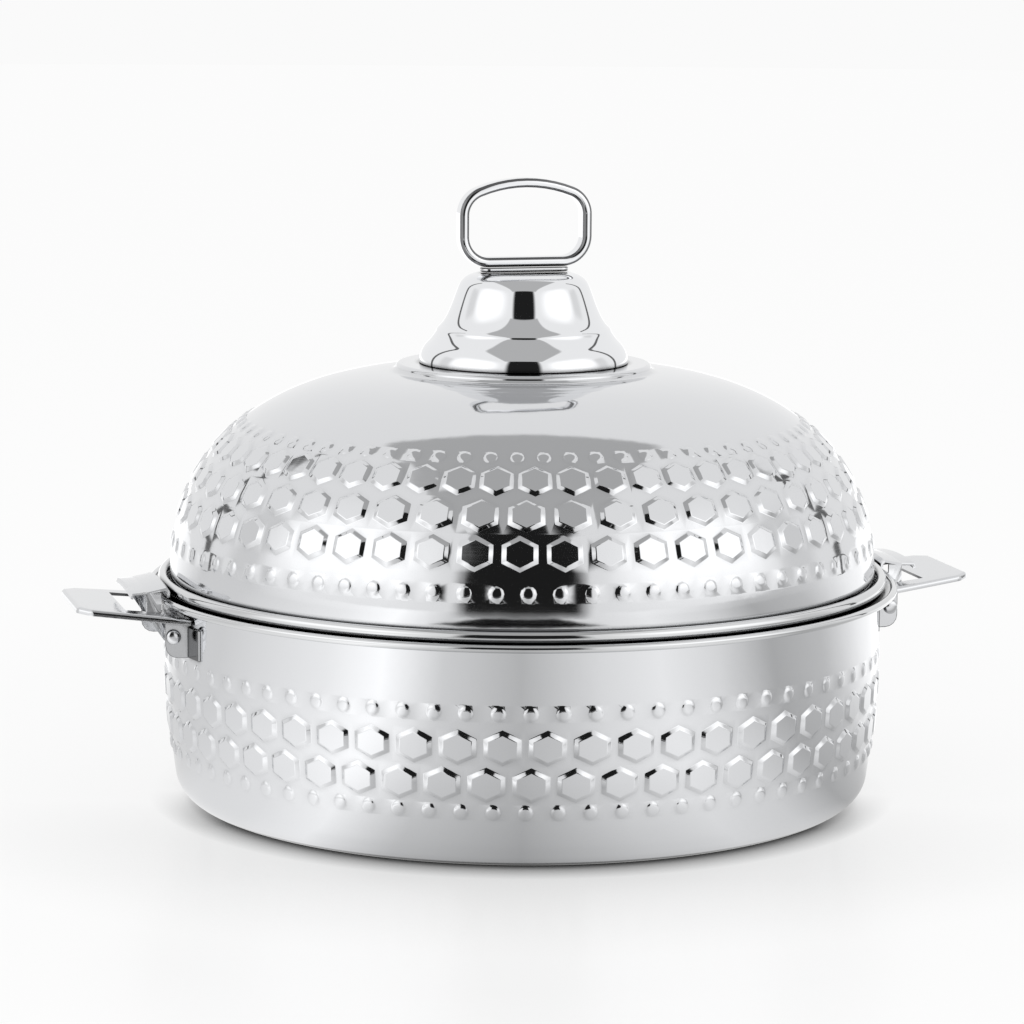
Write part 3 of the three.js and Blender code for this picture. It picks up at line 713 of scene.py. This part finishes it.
# %% [markdown]
# ## The side handles
# Each handle is one blank of sheet: a tapered plate with its edges folded down, its corners cut
# and a window for the clip. It starts as a small grid whose rows and columns are set to the
# plate's lines. The window's faces are deleted, the outer edge is extruded down and the fold
# rounded, and last the sheet gets its thickness.

# %% Handle plates
wall_reach, root_reach, window_reach, tip_reach = 144.8, 150, 165.5, 179.5
plate_reaches = [wall_reach, root_reach, window_reach, 172, tip_reach, 184.5]
window_half, root_half, tip_half, tip_corner = 20.6, 31.0, 26.5, 5.0
plate_lines = [-1, -window_half, -10, 0, 10, window_half, 1]
taper = (root_half - tip_half) / (tip_reach - root_reach)
tip_share = 0.7
window_slack = 0.5
plate_skirt, plate_fold, plate_wall, plate_top = 2.4, 1.5, 1.1, 82.0
plate_tilt, plate_root = math.radians(6.5), Vector((root_reach, 0, 0))
fold_angle, corner_angle = math.radians(60), math.radians(20)
cut_edge_darkness, upright_limit = 0.85, 0.4


def plate_blank():
    """The right handle's plate, flat, with its top at Z 0."""
    bm = bmesh.new()
    bm.faces.layers.float.new("painted_dark_edge")
    across, up = len(plate_reaches) - 1, len(plate_lines) - 1
    bmesh.ops.create_grid(bm, x_segments=across, y_segments=up, size=1)
    for vert in bm.verts:
        i, j = round((vert.co.x + 1) / 2 * across), round((vert.co.y + 1) / 2 * up)
        reach, line = plate_reaches[i], plate_lines[j]
        half = min(root_half - (reach - root_reach) * taper, root_half + 1)
        if i == across:
            half = tip_half - tip_corner
        side = line * half if abs(line) == 1 else line * (tip_share if i == across else 1)
        if i == 0:
            reach = math.sqrt(wall_reach ** 2 - side ** 2)
        vert.co = (reach, side, 0)
    middles = [(face, face.calc_center_median()) for face in bm.faces]
    window = [
        face for face, c in middles
        if root_reach < c.x < window_reach and abs(c.y) < window_half
    ]
    bmesh.ops.delete(bm, geom=window, context="FACES")
    return bm


def fold(bm, depth, radius, wall):
    """Folds the outer edge of a blank down, rounds the fold, thickens it and paints the window's cut
    edges dark.
    """
    rim = [e for e in bm.edges if e.is_boundary and any(
        abs(v.co.y) > window_half + window_slack or v.co.x > tip_reach for v in e.verts
    ) and not all(v.co.x < root_reach for v in e.verts)]
    made = bmesh.ops.extrude_edge_only(bm, edges=rim)
    lower = [v for v in made["geom"] if isinstance(v, bmesh.types.BMVert)]
    bmesh.ops.translate(bm, vec=(0, 0, -depth), verts=lower)
    bmesh.ops.recalc_face_normals(bm, faces=bm.faces)
    folds = [e for e in bm.edges if e.calc_face_angle(0) > fold_angle]
    corners = [e for e in bm.edges if corner_angle < e.calc_face_angle(0) < fold_angle]
    round_edges(bm, folds + corners, radius, 4, clamp=True)
    if sum(f.normal.z * f.calc_area() for f in bm.faces) < 0:
        bmesh.ops.reverse_faces(bm, faces=bm.faces)
    bmesh.ops.solidify(bm, geom=bm.faces[:], thickness=wall)
    bm.normal_update()
    upright = [face for face in bm.faces if abs(face.normal.z) < upright_limit]
    middles = [(face, face.calc_center_median()) for face in upright]
    # The window's cut faces get a painted dark reflection.
    cut = [
        face for face, c in middles if abs(c.y) < window_half + window_slack
        and root_reach - 2 * window_slack < c.x < window_reach + window_slack
    ]
    mark_painted_dark(bm, cut, cut_edge_darkness)
    print("cut faces", len(cut))


for side, turned in (("right", 0.0), ("left", math.pi)):
    bm = plate_blank()
    fold(bm, plate_skirt, plate_fold, plate_wall)
    bmesh.ops.rotate(bm, verts=bm.verts, cent=plate_root, matrix=Matrix.Rotation(-plate_tilt, 3, "Y"))
    bmesh.ops.translate(bm, vec=(0, 0, plate_top), verts=bm.verts)
    bmesh.ops.rotate(bm, verts=bm.verts, cent=(0, 0, 0), matrix=Matrix.Rotation(turned, 3, "Z"))
    finish(
        bm, f"{side}_folded_plate", fitting_steel, "bowl",
        [f"{side}_handle_plate"], sharp=40,
    )

# %% [markdown]
# ## Ears, clips and pins
# The ears are spot welded to the wall and carry the pin that the clip turns on. The imported model
# has their bends and holes, so a copy of each mesh is merged, its flats are made one face each,
# and its edges are rounded as tumbling rounds them, and painted dark. The clip's sheet is crowned
# across, as the press leaves it: its bends are rounded first, then cuts across it let its middle rise
# above its edges. The ears' flanges get a painted dark reflection. The pins are turned, with domed heads.

# %% Ears and clips from the imported sheet
flat_angle = math.radians(2)
bend_radius, edge_radius = 0.6, 0.35
clip_half, clip_rise, clip_drop = 19, 0.8, 1.5
arm_width, arm_reach, nose_reach, sheet_low = 1.2, 157, 149, 88.6
crown_cuts = (-0.9, -0.75, -0.55, -0.3, 0, 0.3, 0.55, 0.75, 0.9)
flange_depth, flange_facing = 4, 80


def packed_sheet(node):
    """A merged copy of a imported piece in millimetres, one face to each flat."""
    bm = bmesh.new()
    bm.from_mesh(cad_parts[node].data)
    bm.faces.layers.float.new("painted_dark_edge")
    bmesh.ops.scale(bm, vec=(1 / mm, 1 / mm, 1 / mm), verts=bm.verts)
    bmesh.ops.remove_doubles(bm, verts=bm.verts, dist=weld_distance)
    bmesh.ops.dissolve_limit(bm, angle_limit=flat_angle, verts=bm.verts, edges=bm.edges)
    return bm


def tumble(bm, least_angle, offset, segments, least_length=0, most_angle=180, darkened=0.0):
    """Rounds the edges between two angles in degrees, if long enough, and marks them painted dark."""
    edges = [
        e for e in bm.edges
        if math.radians(least_angle) < e.calc_face_angle(0) < math.radians(most_angle)
        and e.calc_length() > least_length
    ]
    mark_painted_dark(bm, round_edges(bm, edges, offset, segments, clamp=True), darkened)


def crown(bm, half, rise):
    """Lifts the middle of a clip's sheet above its edges. Its nose edge and its arms stay."""
    for share in crown_cuts:
        geom = [*bm.verts, *bm.edges, *bm.faces]
        bmesh.ops.bisect_plane(bm, geom=geom, plane_co=(0, share * half, 0), plane_no=(0, 1, 0))
    for vert in bm.verts:
        reach, up = abs(vert.co.x), vert.co.z
        arm = abs(vert.co.y) > half - arm_width and reach < arm_reach
        held = 0 if up < sheet_low and (arm or reach < nose_reach) else 1
        vert.co.z += held * rise * (1 - clip_drop * (vert.co.y / half) ** 2)


for side in ("right", "left"):
    bm = packed_sheet(f"{side}_clip")
    tumble(bm, 5, bend_radius, 3, least_length=30, most_angle=60)
    crown(bm, clip_half, clip_rise)
    tumble(bm, 50, edge_radius, 2, darkened=cut_edge_darkness)
    finish(bm, f"{side}_clip_sheet", fitting_steel, f"{side}_clip", [f"{side}_clip"])
    for end in ("front", "rear"):
        bm = packed_sheet(f"{side}_{end}_ear")
        low, high = (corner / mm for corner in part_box(f"{side}_{end}_ear"))
        near_wall = min(abs(low.x), abs(high.x)) + flange_depth
        tumble(bm, 40, edge_radius, 2, darkened=cut_edge_darkness)
        # The flanges get a painted dark reflection in their colour.
        middles = [(face, face.calc_center_median()) for face in bm.faces]
        flange = [
            face for face, c in middles
            if face.normal.x * c.x > flange_facing and abs(c.x) < near_wall
        ]
        mark_painted_dark(bm, flange, cut_edge_darkness)
        print(side, end, "flange faces", len(flange))
        finish(
            bm, f"{side}_{end}_ear_sheet", fitting_steel, "bowl",
            [f"{side}_{end}_ear"],
        )

# %% Pins
pin_radius, head_radius, head_height, pin_columns = 1.5, 2.8, 1.6, 32
for side, turned in (("right", 0.0), ("left", math.pi)):
    low, high = (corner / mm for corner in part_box(f"{side}_clip_pin"))
    end = (high.y - low.y) / 2
    half = [(pin_radius, end - head_height), (2.5, end - head_height), (head_radius, end - 1.3)]
    half += curve((head_radius, end - 1.0), (2.6, end - 0.35), (1.4, end), (0, end), 8)
    profile = [(r, -z) for r, z in reversed(half)] + half
    bm = bmesh.new()
    turn(bm, profile, pin_columns)
    bmesh.ops.recalc_face_normals(bm, faces=bm.faces)
    bmesh.ops.rotate(bm, verts=bm.verts, cent=(0, 0, 0), matrix=Matrix.Rotation(math.pi / 2, 3, "X"))
    bmesh.ops.translate(bm, vec=(low + high) / 2, verts=bm.verts)
    finish(bm, f"{side}_rivet_pin", fitting_steel, "bowl", [f"{side}_clip_pin"])

# %% [markdown]
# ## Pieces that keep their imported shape
# Foam, nut, washer, bolt, plug and springs are right as they are and mostly hidden. They only get
# their real finish, through the material slots of their objects.

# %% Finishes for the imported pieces
kept = {
    "body_insulation": rigid_foam, "lid_insulation": rigid_foam, "foam_fill_plug": black_nylon,
    "knob_nut": fitting_steel, "knob_washer": fitting_steel, "knob_bolt": fitting_steel,
    "right_clip_spring": spring_steel, "left_clip_spring": spring_steel,
}
for name, material in kept.items():
    for material_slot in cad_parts[name].material_slots:
        material_slot.material = material
print("kept", len(kept), "packed pieces")

# %% [markdown]
# ## The light
# Polished steel shows its room. The photograph's room is a white tent with two soft boxes in
# front, a grey strip above, and a dark gap in front where the camera stands. The tent is the
# world: white where the camera or a reflection sees it, and a little lower as a light. The dark
# gap, the grey strip and the bright boxes are cards that only reflections see, as they would be
# hung round a real product. They stand still in the room, so every other view sees them too.

# %% World
world = bpy.data.worlds.new("white_tent")
bpy.context.scene.world = world
world.use_nodes = True
tree = world.node_tree
tree.nodes.clear()
seen, lighting = linear("#fafafa")[0], 0.74
path = add(tree, "ShaderNodeLightPath").outputs
straight = add(tree, "ShaderNodeMath", {
    0: path["Is Camera Ray"], 1: path["Is Glossy Ray"],
}, operation="MAXIMUM")
shown = add(tree, "ShaderNodeMath", {
    0: straight.outputs[0], 1: path["Is Transmission Ray"],
}, operation="MAXIMUM")
level = add(tree, "ShaderNodeMapRange", {"Value": shown.outputs[0], "To Min": lighting, "To Max": seen})
tent = add(tree, "ShaderNodeBackground", {"Color": (1, 1, 1, 1), "Strength": level.outputs[0]})
add(tree, "ShaderNodeOutputWorld", {"Surface": tent.outputs[0]})
bpy.context.scene.view_settings.view_transform = "Standard"
print("tent level", round(seen, 3))


# %% Cards that only reflections see
def card(name, level, place, size, edge, facing="inwards"):
    """A glowing card with soft edges. Its place is to the right, in front and above, in metres.

    Every card glows on both sides, so a level one is seen from above and from below.
    """
    glow, tree = bare_material(name)
    split = add(tree, "ShaderNodeSeparateXYZ", {0: add(tree, "ShaderNodeTexCoord").outputs["Object"]})
    fades = []
    for axis, length in zip("XY", size):
        away = add(tree, "ShaderNodeMath", {0: split.outputs[axis]}, operation="ABSOLUTE")
        fades.append(add(tree, "ShaderNodeMapRange", {
            "Value": away.outputs[0], "From Min": length / 2, "From Max": length / 2 - edge,
        }, interpolation_type="SMOOTHSTEP").outputs[0])
    mask = add(tree, "ShaderNodeMath", {0: fades[0], 1: fades[1]}, operation="MULTIPLY")
    light = add(tree, "ShaderNodeEmission", {"Color": (1, 1, 1, 1), "Strength": level})
    clear = add(tree, "ShaderNodeBsdfTransparent")
    both = add(tree, "ShaderNodeMixShader", {
        0: mask.outputs[0], 1: clear.outputs[0], 2: light.outputs[0],
    })
    add(tree, "ShaderNodeOutputMaterial", {"Surface": both.outputs[0]})
    bm = bmesh.new()
    bmesh.ops.create_grid(bm, x_segments=1, y_segments=1, size=0.5)
    bmesh.ops.scale(bm, vec=(*size, 1), verts=bm.verts)
    made = mesh_object(bm, name, glow)
    side, front, height = place
    centre = right * side + ahead * front + Vector((0, 0, height))
    turned = Matrix.Rotation(view_azimuth, 4, "Z")
    if facing == "inwards":
        turned = Vector((-centre.x, -centre.y, 0)).to_track_quat("Z", "Y").to_matrix().to_4x4()
    made.matrix_world = Matrix.Translation(centre) @ turned
    made.visible_camera = made.visible_diffuse = made.visible_shadow = made.visible_transmission = False


def around(bearing, distance, height):
    """A place at a bearing in degrees from the camera's side, to the right for a positive one."""
    angle = math.radians(bearing)
    return distance * math.sin(angle), distance * math.cos(angle), height


card("dark_gap", 0.015, (0, 1.9, 1.15), (1.56, 2.5), 0.24)
card("dark_floor", 0.006, (-0.02, 1.3, 0.004), (0.8, 1.2), 0.1, "down")
card("grey_strip", 0.5, (0, 0.47, 1.6), (1.4, 2.16), 0.08, "down")
for side in (-1, 1):
    card("soft_box", 1.5, around(side * 59, 1.75, 0.88), (2.6, 2.1), 0.95)
    card("soft_box_rim", 0.14, around(side * 120, 1.7, 0.9), (0.16, 2.2), 0.04)
    card("grey_wall", 0.8, around(side * 98, 1.9, 0.6), (0.8, 1.4), 0.3)
print("cards hung")

# %% [markdown]
# ## The floor
# A white acrylic sheet. It glows a little so that it stays white, keeps part of its colour as
# paint that the casserole shades, and has a faint gloss that mirrors the bowl's foot and ends
# half a metre out. Ambient occlusion dims the glow under the foot, which gives the thin dark line
# of contact. The soft boxes light the sides, so the shade is deeper in front. A reflection sees
# the same floor, but with the tent's own light and dark on it, by the bearing.

# %% Floor
floor_radius, floor_sides = 9, 96
own_glow, paint_level, gloss_level, gloss_rough = 0.778, 0.12, 0.1, 0.25
shade_reach, touch_reach, floor_samples = 0.12, 0.014, 6
gloss_full, gloss_end = 0.3, 0.5
floor_material, tree = bare_material("white_acrylic_floor")
place = add(tree, "ShaderNodeTexCoord").outputs["Object"]
level_view = add(tree, "ShaderNodeMapping", {"Vector": place, "Rotation": (0, 0, -view_azimuth)})
across = add(tree, "ShaderNodeSeparateXYZ", {0: level_view.outputs[0]}).outputs
nearer = add(tree, "ShaderNodeMath", {0: across["Y"], 1: -1.0}, operation="MULTIPLY")
bearing = add(tree, "ShaderNodeMath", {0: across["X"], 1: nearer.outputs[0]}, operation="ARCTAN2")
turn_share = add(tree, "ShaderNodeMapRange", {
    "Value": bearing.outputs[0], "From Min": -math.pi, "From Max": math.pi,
})
brightest = 1.4
bearings = [
    (-180, 1.2), (-150, 1.4), (-120, 0.8), (-96, 0.82), (-74, 0.98), (-55, 1.12), (-38, 1.38),
    (-21, 0.83), (0, 0.6), (21, 0.94), (38, 1.1), (55, 0.92), (74, 0.52), (96, 0.66), (120, 1.12),
    (150, 1.4), (180, 1.2),
]
shades = add(tree, "ShaderNodeValToRGB", {0: turn_share.outputs[0]})
ramp = shades.color_ramp.elements
while len(ramp) < len(bearings):
    ramp.new(0.5)
for stop, (degrees, bright) in zip(ramp, bearings):
    stop.position = (degrees + 180) / 360
    stop.color = (*[bright / brightest] * 3, 1)
close = add(tree, "ShaderNodeAmbientOcclusion", {"Distance": shade_reach}, samples=floor_samples)
side_light = add(tree, "ShaderNodeMapRange", {
    "Value": nearer.outputs[0], "From Min": 0.03, "From Max": 0.15, "To Min": 0.94, "To Max": 0.5,
})
shadow = add(tree, "ShaderNodeMapRange", {
    "Value": close.outputs["AO"], "To Min": side_light.outputs[0], "To Max": 1.0,
})
touching = add(tree, "ShaderNodeAmbientOcclusion", {"Distance": touch_reach}, samples=floor_samples)
side_touch = add(tree, "ShaderNodeMapRange", {
    "Value": nearer.outputs[0], "From Min": 0.01, "From Max": 0.07, "To Min": 0.92, "To Max": 0.0,
})
contact = add(tree, "ShaderNodeMapRange", {
    "Value": touching.outputs["AO"], "To Min": side_touch.outputs[0], "To Max": 1.0,
})
dim = add(tree, "ShaderNodeMath", {0: shadow.outputs[0], 1: contact.outputs[0]}, operation="MULTIPLY")
own = add(tree, "ShaderNodeMath", {0: dim.outputs[0], 1: own_glow}, operation="MULTIPLY")
mirrored = add(tree, "ShaderNodeMath", {0: shadow.outputs[0], 1: brightest}, operation="MULTIPLY")
away = add(tree, "ShaderNodeVectorMath", {0: place}, operation="LENGTH")
gloss_share = add(tree, "ShaderNodeMapRange", {
    "Value": away.outputs["Value"], "From Min": gloss_full, "From Max": gloss_end,
    "To Min": gloss_level, "To Max": 0.0,
})
gloss = add(tree, "ShaderNodeBsdfGlossy", {
    "Color": gloss_share.outputs[0], "Roughness": gloss_rough,
})
matt_share = add(tree, "ShaderNodeMath", {
    0: gloss_level, 1: gloss_share.outputs[0],
}, operation="SUBTRACT")
all_glow = add(tree, "ShaderNodeMath", {0: own.outputs[0], 1: matt_share.outputs[0]}, operation="ADD")
glow = add(tree, "ShaderNodeEmission", {"Color": (1, 1, 1, 1), "Strength": all_glow.outputs[0]})
paint = add(tree, "ShaderNodeBsdfDiffuse", {"Color": (*[paint_level] * 3, 1)})
both = add(tree, "ShaderNodeAddShader", {0: paint.outputs[0], 1: glow.outputs[0]})
straight = add(tree, "ShaderNodeAddShader", {0: both.outputs[0], 1: gloss.outputs[0]})
tent_floor = add(tree, "ShaderNodeEmission", {
    "Color": shades.outputs["Color"], "Strength": mirrored.outputs[0],
})
glossy_ray = add(tree, "ShaderNodeLightPath").outputs["Is Glossy Ray"]
seen_floor = add(tree, "ShaderNodeMixShader", {
    0: glossy_ray, 1: straight.outputs[0], 2: tent_floor.outputs[0],
})
add(tree, "ShaderNodeOutputMaterial", {"Surface": seen_floor.outputs[0]})
bm = bmesh.new()
bmesh.ops.create_circle(bm, cap_ends=True, segments=floor_sides, radius=floor_radius)
floor = mesh_object(bm, "floor", floor_material)

# %% [markdown]
# ## Soft lamps
# Two area lamps at the soft boxes give the dull pieces, such as the foam and the plug, a direction
# of light. Reflections already see the boxes as cards, so the lamps are hidden from them.

# %% Lamps
lamp_power, lamp_size, lamp_distance, lamp_height, lamp_aim = 4, 1.2, 1.5, 1.1, 0.1
for name, bearing in (("right_lamp", 55), ("left_lamp", -55)):
    side, front, height = around(bearing, lamp_distance, lamp_height)
    centre = right * side + ahead * front + Vector((0, 0, height))
    lamp = bpy.data.objects.new(name, bpy.data.lights.new(name, "AREA"))
    lamp.data.energy = lamp_power
    lamp.data.size = lamp_size
    lamp.location = centre
    lamp.rotation_mode = "QUATERNION"
    lamp.rotation_quaternion = (Vector((0, 0, lamp_aim)) - centre).to_track_quat("-Z", "Y")
    lamp.visible_camera = lamp.visible_glossy = False
    bpy.context.collection.objects.link(lamp)
